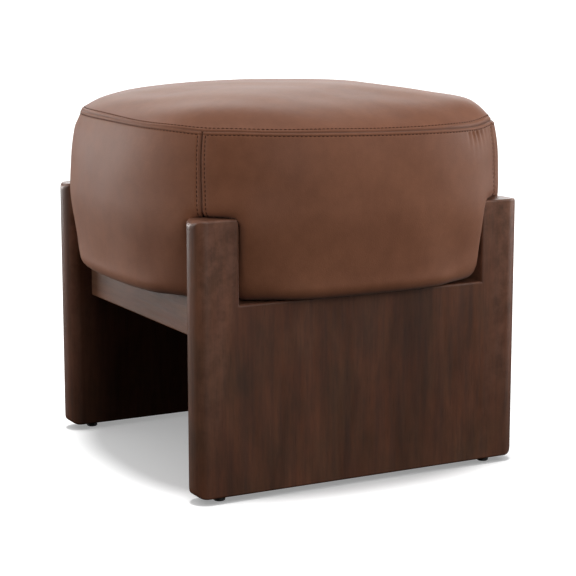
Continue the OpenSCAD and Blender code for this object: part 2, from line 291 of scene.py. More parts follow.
def plain_wood_material(name, light, dark, stretch):
    """Unfinished beech or the edge and face of plywood."""
    m = Shader(name, roughness=0.62)
    rings = m.noise(20, 5, 0.6, stretch, 0.3)
    color = m.ramp(rings, (0.3, dark), (0.7, light))
    flecks = m.noise(300, 2, 0.5, stretch)
    m.color(m.mix(m.span(flecks, 0.6, 0.72, 0, 0.4), color, tuple(0.6 * c for c in dark)))
    m.bump(flecks, 0.0002, 0.3)
    return m.material


def steel_material():
    """Zinc-plated steel with a cloudy shine."""
    m = Shader("steel_zinc", roughness=0.35, Metallic=1.0)
    cloud = m.noise(90, 4, 0.6)
    m.color(m.ramp(cloud, (0.3, (0.42, 0.42, 0.43)), (0.7, (0.62, 0.62, 0.60))))
    m.roughness(m.span(cloud, 0.3, 0.7, 0.28, 0.45))
    m.bump(m.noise(700, 3), 0.0001, 0.2)
    return m.material


def nylon_material():
    """Dark moulded nylon of the glides."""
    m = Shader("nylon_dark", roughness=0.5)
    cloud = m.noise(120, 4, 0.6)
    m.color(m.ramp(cloud, (0.3, (0.010, 0.009, 0.008)), (0.7, (0.022, 0.019, 0.017))))
    m.roughness(m.span(cloud, 0.3, 0.7, 0.42, 0.6))
    m.bump(m.noise(900, 3), 0.0001, 0.3)
    return m.material


def woven_material(name, dark, light, scale):
    """Woven cloth or webbing: two crossing waves."""
    m = Shader(name, roughness=0.85)
    weave = m.math("MULTIPLY", m.wave(scale, "X"), m.wave(scale, "Y"))
    color = m.ramp(weave, (0.1, dark), (0.8, light))
    m.color(m.mix(m.span(m.noise(30), 0.3, 0.7, 0.0, 0.3), color, dark))
    m.bump(weave, 0.0003, 0.5)
    return m.material


def fibre_material(name, tone, scale):
    """Foam cells or polyester fibre, in one tone."""
    m = Shader(name, roughness=0.95)
    cells = m.noise(scale, 6, 0.7)
    m.color(m.ramp(cells, (0.3, tuple(0.8 * c for c in tone)), (0.7, tone)))
    m.bump(cells, 0.0008, 0.6)
    return m.material


def thread_material():
    """Twisted sewing thread, darker than the leather."""
    m = Shader("thread_brown", roughness=0.85, Specular_IOR_Level=0.1)
    twist = m.wave(900, "DIAGONAL")
    m.color(m.ramp(twist, (0.2, (0.034, 0.012, 0.008)), (0.8, (0.070, 0.026, 0.016))))
    m.bump(twist, 0.00015, 0.5)
    return m.material


def floor_material():
    """Pale studio floor that glows a little, so that it stays near white around the pouf."""
    m = Shader("floor_pale", roughness=0.9, Specular_IOR_Level=0.1, Emission_Color=(1, 1, 1, 1),
               Emission_Strength=0.3)
    m.color(m.ramp(m.noise(3), (0.3, (0.86, 0.86, 0.86)), (0.7, (0.88, 0.88, 0.88))))
    return m.material


# ---- wooden side panels ----------------------------------

# How far the edges are softened, and the corner radii of the side view: at the foot, at the outer
# top of a post and at its inner top
EASE = 0.0026
BOTTOM_R = 0.014
TOP_R = 0.009
INNER_TOP_R = 0.0034
# Points over the softened edge, over a corner and over a half-round end
EASE_STEPS = 4
ARC_STEPS = 8
INNER_ARC_STEPS = 4
END_STEPS = 10
RAIL_EASE = 0.002


def arc(cy, cz, radius, start, steps=ARC_STEPS):
    """Points on a quarter circle in Y and Z, from the angle start, in degrees."""
    angles = np.radians(start + 90 * np.arange(steps + 1) / steps)
    return [(cy + radius * math.cos(a), cz + radius * math.sin(a)) for a in angles]


def side_view(inset):
    """Outline of a side panel seen from the side, taken inwards by inset; always as many points."""
    br, tr, ir = BOTTOM_R, TOP_R, INNER_TOP_R
    right = arc(HALF_LEN - br, FOOT_Z + br, br - inset, 270)
    right += arc(HALF_LEN - tr, POST_TOP - tr, tr - inset, 0)
    right += arc(POST_Y + ir, POST_TOP - ir, ir - inset, 90, INNER_ARC_STEPS)
    right += [(POST_Y + inset, LOW_EDGE - inset)]
    return right + [(-y, z) for y, z in reversed(right)]


def half_thickness(y):
    """Half the thickness of a panel at y: its ends are half-round."""
    half = PANEL_T / 2
    into_end = np.clip(np.abs(y) - (HALF_LEN - half), 0, half)
    return np.sqrt(np.maximum(half * half - into_end * into_end, 0))


def half_panel():
    """One face of a panel, laid flat: its points, their drop at the softened edge, its faces and rim."""
    bm = bmesh.new()
    drop_layer = bm.verts.layers.float.new("drop")
    loops = []
    for k in range(EASE_STEPS + 1):
        a = 0.5 * math.pi * k / EASE_STEPS
        loop = [bm.verts.new((0, y, z)) for y, z in side_view(EASE * (1 - math.sin(a)))]
        for v in loop:
            v[drop_layer] = EASE * (1 - math.cos(a))
        loops.append(loop)
    count = len(loops[0])
    for inner, outer in zip(loops, loops[1:]):
        for i in range(count):
            j = (i + 1) % count
            bm.faces.new((inner[i], outer[i], outer[j], inner[j]))
    bm.faces.new(loops[0])
    half = PANEL_T / 2
    cuts = [HALF_LEN - half + half * math.sin(0.5 * math.pi * k / END_STEPS) for k in range(END_STEPS)]
    for y in [-c for c in cuts] + cuts + [-POST_Y, POST_Y, 0.0]:
        geometry = list(bm.verts) + list(bm.edges) + list(bm.faces)
        bmesh.ops.bisect_plane(bm, geom=geometry, plane_co=(0, y, 0), plane_no=(0, 1, 0), dist=1e-7)
    bm.verts.index_update()
    flat = np.array([v.co for v in bm.verts])
    drop = np.array([v[drop_layer] for v in bm.verts])
    faces = [[v.index for v in f.verts] for f in bm.faces]
    rim = [[v.index for v in e.verts] for e in bm.edges if len(e.link_faces) == 1]
    bm.free()
    return flat, drop, faces, rim


def side_panel(name, side):
    """One U-shaped panel with softened edges and half-round ends; side is -1 or 1."""
    points, drop, faces, rim = half_panel()
    thick = half_thickness(points[:, 1])
    points[:, 0] = np.maximum(thick - drop * np.clip(thick / (3 * EASE), 0, 1), 0)
    n = len(points)
    points = np.concatenate([points, points * (-1, 1, 1)])
    points[:, 0] += side * MIDDLE_X
    faces = faces + [[i + n for i in reversed(f)] for f in faces]
    faces += [[a, b, b + n, a + n] for a, b in rim]
    panel = mesh_object(name, points, faces)
    clean = bmesh.new()
    clean.from_mesh(panel.data)
    bmesh.ops.remove_doubles(clean, verts=clean.verts, dist=2e-6)
    bmesh.ops.dissolve_degenerate(clean, edges=clean.edges, dist=1e-6)
    bmesh.ops.recalc_face_normals(clean, faces=clean.faces)
    clean.to_mesh(panel.data)
    clean.free()
    add_wear(panel, side)
    return evenly_shaded(panel)


def evenly_shaded(obj):
    obj.modifiers.new("even_shading", "WEIGHTED_NORMAL").keep_sharp = False
    return obj


def add_wear(panel, side):
    """Marks where edges are rubbed lighter: the softened edges all round and the tops of the posts."""
    co = np.array([v.co for v in panel.data.vertices])
    out = np.abs(co[:, 0] - side * MIDDLE_X)
    edge = 0.8 * smooth((half_thickness(co[:, 1]) - out) / EASE)
    top = smooth((co[:, 2] - POST_TOP + 2 * EASE) / EASE)
    store(panel, "wear", np.maximum(edge, top))


def store(obj, name, values):
    """Keeps a value for every point of a mesh, for its material."""
    attribute = obj.data.attributes.new(name, "FLOAT", "POINT")
    attribute.data.foreach_set("value", values.astype(np.float32))


def eased_board(name, low, high, ease):
    """A sawn board with softened edges."""
    bm = bmesh.new()
    bmesh.ops.create_cube(bm, size=1)
    size = high - low
    for v in bm.verts:
        v.co = Vector([low[i] + (v.co[i] + 0.5) * size[i] for i in range(3)])
    bmesh.ops.bevel(bm, geom=list(bm.edges), offset=ease, segments=3, profile=0.5, affect="EDGES")
    board = bpy.data.objects.new(name, bpy.data.meshes.new(name))
    for face in bm.faces:
        face.smooth = True
    bm.to_mesh(board.data)
    bm.free()
    scene.collection.objects.link(board)
    return evenly_shaded(board)


def finish_piece(piece, material, slot, *nodes):
    """Gives a piece its material, its body, and the nodes that it stands for, which it hides; slot is not
    used.
    """
    piece.data.materials.append(material)
    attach(piece, ROOT)
    if nodes:
        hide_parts(*nodes)


def build_base():
    upright = walnut_material("walnut_upright", (1, 1, 0.06))
    # The rails' wood is tinted lighter and greyer: a painted sheen.
    across = walnut_material("walnut_across", (0.06, 1, 1), (1.36, 1.54, 1.62))
    for name, side, node in (("side_panel_right", 1, "panel_right"), ("side_panel_left", -1, "panel_left")):
        finish_piece(side_panel(name, side), upright, "walnut", node)
    for name, node in (("rail_board_front", "rail_front"), ("rail_board_rear", "rail_rear")):
        finish_piece(eased_board(name, *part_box(node), RAIL_EASE), across, "walnut", node)


# ---- cushion: its free form ------------------------------

# Plan: half size at the widest height, how square it is there, and the flatter top panel
HALF = snapped(cover_high.x - 0.0046)
POWER = 2.8
TOP_POWER = 4.2
# Heights: underside, where the sides are widest, and the top seam
BOTTOM_Z = LOW_EDGE + 0.0008
WIDEST_Z = snapped(POST_TOP + 0.028)
SEAM_Z = snapped(cover_high.z - 0.0006)
LEDGE_Z = POST_TOP + COVER_CLEAR
# How far the sides pull in: at the seam, low down from one height over a reach, and round the underside
SEAM_INSET = 0.009
SEAM_BOW = 2.2
LOW_INSET = 0.0086
LOW_FROM = snapped(POST_TOP + 0.008)
LOW_REACH = 0.085
BOTTOM_ROUND = 0.0155
# Rise of the top: a flat-topped crown with steep shoulders, and a low dome over it
CROWN = 0.0262
CROWN_POWER = 5.0
DOME = 0.0075
# Height of the seam: lower all round, towards the rear, in two waves, and at the upright seams
SEAM_DROP = 0.0023
SEAM_TILT = 0.0057
SEAM_WAVE = 0.0014
SEAM_ANGLES = (-46.6, 43.4, 133.4, 226.6)
CORNER_DIPS = ((-46.6, 0.0014), (43.4, -0.0032), (133.4, 0.0006), (226.6, 0.0010))
CORNER_DIP_WIDTH = 6.0
# Lean to the rear above the posts, the share of it at the front, and the turn of the front right
# corner with its width in degrees
LEAN = 0.0045
LEAN_AT_FRONT = 0.3
LEAN_FROM = snapped(POST_TOP - 0.027)
TWIST = math.radians(1.1)
TWIST_WIDTH = 16
# Fuller and slacker places of the seam and of the crown: angle, width in degrees, and size
FULLER_SEAM = ((43.4, 6, 0.0020), (235, 32, -0.0030))
FULLER_CROWN = ((50, 22, 0.0060), (250, 26, 0.0026))
# Bulge beside the posts on the X and on the Y side: size, angle in its quarter, and fading width
BULGE_X = 0.0068
BULGE_Y = 0.004
EDGE_X_FACE = 37.8
EDGE_Y_FACE = 49.4
FADE_X_FACE = 10
FADE_Y_FACE = 8
# Width of the leather turned under the deck's edge, its thickness, and its clearance from the wood
FLANGE = 0.023
LEATHER_T = 0.0014
GAP = 0.0005


def squircle(half, power, angle):
    """Distance from the centre to a square-round outline of that half size, at that angle."""
    c, s = np.abs(np.cos(angle)), np.abs(np.sin(angle))
    return half / (c**power + s**power) ** (1 / power)


def side_half(z):
    """Half size of the cushion's plan at height z."""
    up = SEAM_INSET * np.clip((z - WIDEST_Z) / (SEAM_Z - WIDEST_Z), 0, 1) ** SEAM_BOW
    low = LOW_INSET * smooth((LOW_FROM - z) / LOW_REACH)
    k = np.clip((z - BOTTOM_Z) / BOTTOM_ROUND, 0, 1)
    edge = BOTTOM_ROUND * (1 - np.sqrt(np.maximum(1 - (1 - k) ** 2, 0)))
    return HALF - up - low - edge


def corner_angle(angle):
    """Angle folded into one quarter, from 0 at the X axis to 90 at the Y axis, in degrees."""
    turn = np.degrees(angle) % 180
    return np.where(turn > 90, 180 - turn, turn)


def post_bulge(angle, z):
    """The leather stands proud beside the posts, most of all just under their tops."""
    a = corner_angle(angle)
    beside_x = BULGE_X * np.exp(-(((EDGE_X_FACE - a) / FADE_X_FACE) ** 2)) * (a < EDGE_X_FACE)
    beside_y = BULGE_Y * np.exp(-(((a - EDGE_Y_FACE) / FADE_Y_FACE) ** 2)) * (a > EDGE_Y_FACE)
    across = smooth((a - EDGE_X_FACE) / (EDGE_Y_FACE - EDGE_X_FACE))
    between = (BULGE_X + (BULGE_Y - BULGE_X) * across) * ((a >= EDGE_X_FACE) & (a <= EDGE_Y_FACE))
    below = smooth((z - LOW_EDGE) / 0.085) * 0.75 + 0.25
    above = 1 - smooth((z - POST_TOP + 0.02) / 0.065)
    return (beside_x + beside_y + between) * below * above


def free_reach(angle, z):
    """Distance from the centre to the side, as if there were no posts."""
    return squircle(side_half(z), POWER, angle) + post_bulge(angle, z)


def notch_reach(angle):
    """Distance from the centre to the corner that a post takes, at that angle."""
    c, s = np.abs(np.cos(angle)), np.abs(np.sin(angle))
    return np.maximum((INNER_X - GAP) / np.maximum(c, 1e-9), (POST_Y - GAP) / np.maximum(s, 1e-9))


def near_angle(angle, middle, width):
    """A soft bump of that width around an angle, both in degrees."""
    away = (np.degrees(angle) - middle + 180) % 360 - 180
    return np.exp(-((away / width) ** 2))


def seam_height(angle):
    """The top seam dips towards the rear and a little more at its four corners."""
    slow = -SEAM_DROP - SEAM_TILT * np.sin(angle) - SEAM_WAVE * np.cos(2 * angle)
    corners = sum(depth * near_angle(angle, middle, CORNER_DIP_WIDTH) for middle, depth in CORNER_DIPS)
    return SEAM_Z + slow - corners


def flange_reach(angle):
    """Inner edge of the turned-under leather, outside the rails and panels."""
    c, s = np.abs(np.cos(angle)), np.abs(np.sin(angle))
    over_panels = (INNER_X + GAP) / np.maximum(c, 1e-9)
    over_rails = (RAIL_FACE_Y + GAP) / np.maximum(s, 1e-9)
    on_deck = squircle(DECK_HALF - FLANGE, POWER, angle)
    return np.maximum(on_deck, np.minimum(over_panels, over_rails))


def side_profile(angle):
    """Reach and height of the side at one angle, from the seam down to the turned-under edge."""
    ledge = np.array([LEDGE_Z])
    upper_z = np.linspace(seam_height(angle), LEDGE_Z, 80)
    upper_r = free_reach(angle, upper_z)
    lower_z = np.concatenate([
        np.linspace(LEDGE_Z, BOTTOM_Z + BOTTOM_ROUND, 90),
        BOTTOM_Z + BOTTOM_ROUND * (1 - np.sin(np.linspace(0, math.pi / 2, 16)))[1:],
    ])
    lower_r = np.minimum(free_reach(angle, lower_z), notch_reach(angle))
    step_r = np.linspace(float(free_reach(angle, ledge)[0]), lower_r[0], 30)[1:-1]
    under_r = np.linspace(lower_r[-1], min(float(flange_reach(angle)), lower_r[-1] - 0.004), 14)[1:]
    r = np.concatenate([upper_r, step_r, lower_r, under_r])
    z = np.concatenate([upper_z, np.full_like(step_r, LEDGE_Z), lower_z, np.full_like(under_r, BOTTOM_Z)])
    return r, z


def resample(r, z, near, rows):
    """The same profile at rows of points: at the distances near from its start, then evenly."""
    length = np.concatenate([[0], np.cumsum(np.hypot(np.diff(r), np.diff(z)))])
    rest = near[-1] + (length[-1] - near[-1]) * np.arange(1, rows + 1) / rows
    at = np.concatenate([near, rest])
    return np.interp(at, length, r), np.interp(at, length, z)


def blurred(p, passes, wrap):
    """A grid of points, smoothed along both directions."""
    for _ in range(passes):
        q = p.copy()
        q[1:-1] = 0.25 * p[:-2] + 0.5 * p[1:-1] + 0.25 * p[2:]
        if wrap:
            p = 0.25 * np.roll(q, 1, 1) + 0.5 * q + 0.25 * np.roll(q, -1, 1)
        else:
            p = q.copy()
            p[:, 1:-1] = 0.25 * q[:, :-2] + 0.5 * q[:, 1:-1] + 0.25 * q[:, 2:]
    return p


def clear_of_posts(p):
    """Moves points that a post would cut out to its nearest face."""
    x, y, z = np.abs(p[..., 0]), np.abs(p[..., 1]), p[..., 2]
    limit_x, limit_y, limit_z = INNER_X - GAP, POST_Y - GAP, LEDGE_Z
    outer = OUTER_X + GAP
    inside = (x > limit_x) & (x < outer) & (y > limit_y) & (z < limit_z)
    depth = np.stack([x - limit_x, y - limit_y, limit_z - z, outer - x], -1)
    depth[..., 3] = np.where(z > LOW_EDGE + 0.03, depth[..., 3], 1)
    nearest = depth.argmin(-1)
    moved = p.copy()
    sx, sy = np.sign(p[..., 0]), np.sign(p[..., 1])
    moved[..., 0] = np.where(inside & (nearest == 0), sx * limit_x, moved[..., 0])
    moved[..., 0] = np.where(inside & (nearest == 3), sx * outer, moved[..., 0])
    moved[..., 1] = np.where(inside & (nearest == 1), sy * limit_y, moved[..., 1])
    moved[..., 2] = np.where(inside & (nearest == 2), limit_z, moved[..., 2])
    return moved


# ---- cushion: how the leather swells ---------------------

# Points of the simulated cover round it, down its sides and over its top, and the hole at the middle
SIM_COLS = 132
SIM_SIDE_ROWS = 30
SIM_TOP_ROWS = 20
SIM_HOLE = 0.04
SIM_FRAMES = 20
# The farthest that a point may move
SWELL_CAP = 0.0045
CLOTH = {
    "quality": 5,
    "mass": 0.5,
    "tension_stiffness": 40,
    "compression_stiffness": 40,
    "shear_stiffness": 20,
    "bending_stiffness": 2,
    "use_pressure": True,
    "uniform_pressure_force": 4,
    "vertex_group_mass": "held",
}


def sim_grid():
    """Points of the whole cover, from near the middle of the top, over the seam, down to the flange."""
    angles = np.radians(360 * np.arange(SIM_COLS) / SIM_COLS)
    top = top_form(np.linspace(SIM_HOLE, 1, SIM_TOP_ROWS), angles)
    side = relaxed_side(angles, np.zeros(1), SIM_SIDE_ROWS)
    return angles, np.concatenate([top, side[1:]])


def held_weights(p, angles):
    """1 where the leather is sewn down, stapled or against the wood, and 0 where it is free."""
    z = p[..., 2]
    rows = np.arange(len(p))[:, None]
    top_seam = np.exp(-(((rows - SIM_TOP_ROWS + 1) / 1.2) ** 2)) * np.ones_like(z)
    from_corner = np.degrees(angles)[None, :] % 90 - 45
    upright_seam = 0.7 * np.exp(-((from_corner / 2.5) ** 2)) * (rows >= SIM_TOP_ROWS)
    stapled = 1 - smooth((z - BOTTOM_Z - 0.004) / 0.016)
    quarter = corner_angle(angles)[None, :]
    beside_post = smooth((quarter - 35) / 3) * smooth((52 - quarter) / 3)
    at_post = beside_post * smooth((LEDGE_Z + 0.012 - z) / 0.012)
    return np.clip(np.maximum.reduce([top_seam, upright_seam, stapled, at_post]), 0, 1)


def simulated(p, weights):
    """Where those points of a closed cover end up under a light pressure from the stuffing."""
    rows, cols = p.shape[:2]
    faces = [list(f) for f in grid_faces(rows, cols, True)]
    faces += [list(range(cols))[::-1], [(rows - 1) * cols + k for k in range(cols)]]
    cover = faces_outwards(mesh_object("cover_sim", p.reshape(-1, 3), faces))
    group = cover.vertex_groups.new(name="held")
    for i, weight in enumerate(weights.reshape(-1)):
        group.add([i], float(weight), "REPLACE")
    cloth = cover.modifiers.new("cloth", "CLOTH")
    for key, value in CLOTH.items():
        setattr(cloth.settings, key, value)
    cloth.settings.effector_weights.gravity = 0
    cloth.point_cache.frame_start = 1
    cloth.point_cache.frame_end = SIM_FRAMES
    for step in range(1, SIM_FRAMES + 1):
        scene.frame_set(step)
    shape = cover.evaluated_get(bpy.context.evaluated_depsgraph_get()).to_mesh()
    moved = np.zeros(len(shape.vertices) * 3)
    shape.vertices.foreach_get("co", moved)
    scene.frame_set(1)
    bpy.data.objects.remove(cover)
    return moved.reshape(rows, cols, 3)


def swollen():
    """Movement of every point of the simulated cover: never inwards, and never past the cap."""
    angles, p = sim_grid()
    move = simulated(p, held_weights(p, angles)) - p
    n = outward(p, True)
    move = move - n * np.minimum((move * n).sum(2, keepdims=True), 0)
    length = np.linalg.norm(move, axis=2, keepdims=True)
    return move * np.minimum(1, SWELL_CAP / np.maximum(length, 1e-9))


# The movement, kept once it has been simulated
SWELL = []


def swell_at(angles, row):
    """The movement at those angles and rows of the simulated cover, between its points."""
    if not SWELL:
        SWELL.append(blurred(swollen(), 2, True))
    field = SWELL[0]
    angles, row = np.broadcast_arrays(angles, row)
    u = (np.degrees(angles) % 360) / 360 * SIM_COLS
    col = np.floor(u).astype(int) % SIM_COLS
    nxt = (col + 1) % SIM_COLS
    v = np.clip(row, 0, len(field) - 1.001)
    low = np.floor(v).astype(int)
    fu, fv = (u - np.floor(u))[..., None], (v - low)[..., None]
    lower = field[low, col] * (1 - fu) + field[low, nxt] * fu
    upper = field[low + 1, col] * (1 - fu) + field[low + 1, nxt] * fu
    return lower * (1 - fv) + upper * fv


# ---- cushion: its panels ---------------------------------

# Distances from a seam, in metres, at which the fine grids have points, and rows below them
NEAR = np.array([0, 0.35, 0.7, 1.1, 1.6, 2.2, 3.0, 3.8, 4.3, 4.7, 5.1, 5.6, 6.5, 8.0]) / 1000
SIDE_ROWS = 88
BLUR_PASSES = 26
# Mean distance from the centre to the side, to turn angles into lengths
MEAN_REACH = 0.262
# Topstitching: distance from the seam and its row there, stitch length, share of it seen, and thread
STITCH_OFF = 0.0047
STITCH_PITCH = 0.0050
STITCH_ROW = int(np.argmin(np.abs(NEAR - STITCH_OFF)))
STITCH_SHARE = 0.64
STITCH_RADIUS = 0.00050
# Shape of the leather near a seam: the crease, the raised lap and the line that the stitches press in
CREASE_DEPTH = 0.0022
CREASE_WIDTH = 0.0013
LAP_HEIGHT = 0.0003
LAP_AT = 0.0028
LAP_WIDTH = 0.0014
LINE_DEPTH = 0.00055
LINE_WIDTH = 0.0008
# Slow unevenness of the side panels and of the top
UNEVEN_SIDE = 0.0008
UNEVEN_TOP = 0.0009
# Middle of each group of small puckers, as an angle round the cushion in degrees, and its depth
PUCKERS = ((33.5, 0.0032), (57, 0.0009), (143, 0.0009), (214, 0.0010), (236, 0.0008), (318, 0.0004))
PUCKER_PITCH = 0.0088
PUCKER_GROUP = 4.4
PUCKER_LENGTH = 0.017


def panel_angles(start, end):
    """Column angles of one side panel, closer together at its seams and beside the posts."""
    near = np.degrees(NEAR / MEAN_REACH)
    beside = np.arange(near[-1] + 0.35, 14, 0.35)
    ends = np.concatenate([near, beside])
    columns = int((end - start - 2 * ends[-1]) / 0.8) + 2
    middle = np.linspace(start + ends[-1], end - ends[-1], columns)[1:-1]
    return np.radians(np.concatenate([start + ends, middle, end - ends[::-1]]))


def tuck(d):
    """How far the leather stands out at a distance d from its seam: crease, raised lap, stitch line."""
    crease = -CREASE_DEPTH * np.exp(-((d / CREASE_WIDTH) ** 1.4))
    lap = LAP_HEIGHT * np.exp(-(((d - LAP_AT) / LAP_WIDTH) ** 2))
    line = -LINE_DEPTH * np.exp(-(((d - STITCH_OFF) / LINE_WIDTH) ** 2))
    return crease + lap + line


def uneven(p, amount):
    """Slow, low waves, as hand-laid leather has."""
    x, y, z = p[..., 0], p[..., 1], p[..., 2]
    waves = np.sin(31 * x + 17 * y + 11 * z + 0.7) + np.sin(-23 * x + 37 * y - 29 * z + 2.1)
    waves = waves + 0.6 * np.sin(53 * x - 41 * y + 47 * z + 4.0) + 0.5 * np.sin(71 * y + 61 * z - 59 * x)
    return amount * waves / 3


def puckers(angle, d):
    """Short upright creases where the side panels are eased into the top seam near the corners."""
    total = np.zeros(np.broadcast(angle, d).shape)
    fade = np.exp(-((d / PUCKER_LENGTH) ** 1.8)) * smooth((d - 0.004) / 0.004)
    pitch = PUCKER_PITCH * (1 + 5 * d)
    for middle, depth in PUCKERS:
        away = (np.degrees(angle) - middle + 180) % 360 - 180
        ripple = np.sin(np.radians(away) * MEAN_REACH / pitch * 2 * math.pi)
        ripple = (0.5 + 0.5 * ripple) ** 1.6
        total = total - depth * near_angle(angle, middle, PUCKER_GROUP) * fade * ripple
    return total


def side_grid(angles, near, rows):
    """Points of the side at those angles; rows go down from the seam."""
    r_all, z_all = [], []
    for a in angles:
        r, z = resample(*side_profile(a), near, rows)
        r_all.append(r)
        z_all.append(z)
    r, z = np.array(r_all).T, np.array(z_all).T
    return np.stack([r * np.cos(angles), r * np.sin(angles), z], -1)


def leaning(p):
    """Above the posts the cushion sits a little towards the rear and its front right corner is turned."""
    up = smooth((p[..., 2] - LEAN_FROM) / (SEAM_Z - LEAN_FROM))
    angle = np.arctan2(p[..., 1], p[..., 0])
    reach = np.hypot(p[..., 0], p[..., 1])
    to_rear = smooth((np.sin(angle) * reach / HALF + 1) / 2)
    share = LEAN_AT_FRONT + (1 - LEAN_AT_FRONT) * to_rear
    turn = -TWIST * up * near_angle(angle, SEAM_ANGLES[0], TWIST_WIDTH)
    fuller = sum(size * near_angle(angle, middle, width) for middle, width, size in FULLER_SEAM)
    fuller = fuller * smooth((reach / HALF - 0.75) / 0.2) * smooth((p[..., 2] - SEAM_Z + 0.020) / 0.018)
    c, s = np.cos(turn), np.sin(turn)
    x = p[..., 0] * c - p[..., 1] * s + fuller * np.cos(angle)
    y = p[..., 0] * s + p[..., 1] * c + fuller * np.sin(angle) + LEAN * up * share
    return np.stack([x, y, p[..., 2]], -1)


def relaxed_side(angles, near, rows):
    """The side with softly rounded corners round the posts."""
    p = leaning(side_grid(angles, near, rows))
    soft = blurred(p, BLUR_PASSES, False)
    a = corner_angle(angles)
    weight = smooth((a - 22) / 10) * smooth((66 - a) / 10)
    weight = weight[None, :] * smooth((SEAM_Z - 0.045 - p[..., 2]) / 0.025)
    p = p + (soft - p) * weight[..., None]
    return clear_of_posts(p)


def faces_outwards(obj):
    """Turns all faces of a closed mesh the right way out."""
    bm = bmesh.new()
    bm.from_mesh(obj.data)
    bmesh.ops.recalc_face_normals(bm, faces=bm.faces)
    bm.to_mesh(obj.data)
    bm.free()
    return obj


def closed_shell(name, outer, inner, wrap=False):
    """A sheet with thickness between two grids of points, closed round its rims."""
    rows, cols = outer.shape[:2]
    n = rows * cols
    points = np.concatenate([outer.reshape(-1, 3), inner.reshape(-1, 3)])
    faces = [grid_faces(rows, cols, wrap), grid_faces(rows, cols, wrap, n)[:, ::-1]]
    across = np.arange(cols if wrap else cols - 1)
    nxt = (across + 1) % cols
    last = (rows - 1) * cols
    faces.append(np.stack([nxt, across, across + n, nxt + n], 1))
    faces.append(np.stack([last + across, last + nxt, last + nxt + n, last + across + n], 1))
    if not wrap:
        down = np.arange(rows - 1) * cols
        right = down + cols - 1
        faces.append(np.stack([down, down + cols, down + cols + n, down + n], 1))
        faces.append(np.stack([right + cols, right, right + n, right + cols + n], 1))
    return faces_outwards(mesh_object(name, points, np.concatenate(faces)))


def run_length(path):
    """Distance along a path of points, at each of them."""
    return np.concatenate([[0], np.cumsum(np.linalg.norm(np.diff(path, axis=0), axis=1))])


def outward(p, wrap=False):
    """Normals that point away from the cushion, for a grid whose rows go down or inwards."""
    return -grid_normals(p, wrap)


def paint_seam_shade(shell, distance):
    """Stores how near each point is to a seam, for the painted shade in its crease."""
    value = np.exp(-((distance / CREASE_WIDTH) ** 2)).reshape(-1)
    store(shell, "seam", np.concatenate([value, value]))


def side_panel_points(start, end):
    """Grid of points of one side panel between two upright seams, with normals and seam distance."""
    angles = panel_angles(start, end)
    p = relaxed_side(angles, NEAR, SIDE_ROWS)
    steps = np.linalg.norm(np.diff(p, axis=0), axis=2)
    share = np.concatenate([np.zeros((1, len(angles))), np.cumsum(steps, 0)])
    share = share / share[-1:]
    p = clear_of_posts(p + swell_at(angles[None, :], SIM_TOP_ROWS - 1 + SIM_SIDE_ROWS * share))
    n = outward(p)
    down = run_length(p[:, len(angles) // 2])
    from_ends = np.minimum(angles - angles[0], angles[-1] - angles) * MEAN_REACH
    free = smooth((p[..., 2] - BOTTOM_Z - 0.004) / 0.02)
    off = tuck(down)[:, None] + tuck(from_ends)[None, :]
    off = off + puckers(angles[None, :], down[:, None]) + uneven(p, UNEVEN_SIDE) * free
    p = clear_of_posts(p + n * off[..., None])
    return angles, p, n, np.minimum(down[:, None], from_ends[None, :])


def top_form(rho, angles):
    """Points of the crowned top at shares rho of the way from its middle to the seam."""
    power = 2.0 + (TOP_POWER - 2.0) * smooth(rho / 0.5)
    power = power + (POWER - TOP_POWER) * smooth((rho - 0.6) / 0.4) ** 1.5
    z = CROWN * (1 - rho**CROWN_POWER) + DOME * (1 - rho**2)
    r = squircle(((HALF - SEAM_INSET) * rho)[:, None], power[:, None], angles[None, :])
    edge = smooth((rho - 0.65) / 0.25) * (1 - rho**30)
    fuller = sum(size * near_angle(angles, middle, width) for middle, width, size in FULLER_CROWN)
    z = z[:, None] + edge[:, None] * fuller[None, :]
    height = SEAM_Z + (seam_height(angles)[None, :] - SEAM_Z) * (rho**8)[:, None] + z
    return leaning(np.stack([r * np.cos(angles), r * np.sin(angles), height], -1))


def top_points(angles):
    """Grid of points of the top panel, rows going inwards, with normals and seam distance."""
    steps = np.concatenate([NEAR, np.arange(0.0105, 0.06, 0.0025), np.linspace(0.06, 0.225, 34)])
    rho = np.concatenate([1 - steps / (HALF - SEAM_INSET), [0.02]])
    p = top_form(rho, angles)
    sim_row = (rho - SIM_HOLE) / (1 - SIM_HOLE) * (SIM_TOP_ROWS - 1)
    p = p + swell_at(angles[None, :], sim_row[:, None])
    n = grid_normals(p, True)
    down = run_length(p[:, 0])
    off = tuck(down)[:, None] + uneven(p, UNEVEN_TOP)
    return p + n * off[..., None], n, down[:, None] * np.ones(len(angles))


# ---- stitching -------------------------------------------

# Points round the thread and along one stitch
STITCH_SIDES = 6
STITCH_RINGS = 7


def stitch(points, normals):
    """One visible stitch: a thread that comes up out of the leather, lies on it and goes down again."""
    along = np.gradient(points, axis=0)
    along /= np.linalg.norm(along, axis=1, keepdims=True)
    across = np.cross(along, normals)
    t = np.linspace(0, 1, STITCH_RINGS)
    lift = STITCH_RADIUS * (1.15 * np.sin(math.pi * t) ** 0.6 - 0.75)
    ring = []
    for i in range(STITCH_RINGS):
        centre = points[i] + normals[i] * lift[i]
        for k in range(STITCH_SIDES):
            a = 2 * math.pi * k / STITCH_SIDES
            out = math.cos(a) * across[i] + 0.8 * math.sin(a) * normals[i]
            ring.append(centre + STITCH_RADIUS * out)
    last = (STITCH_RINGS - 1) * STITCH_SIDES
    faces = [list(f) for f in grid_faces(STITCH_RINGS, STITCH_SIDES, True)]
    faces += [list(range(STITCH_SIDES))[::-1], [last + k for k in range(STITCH_SIDES)]]
    return ring, faces


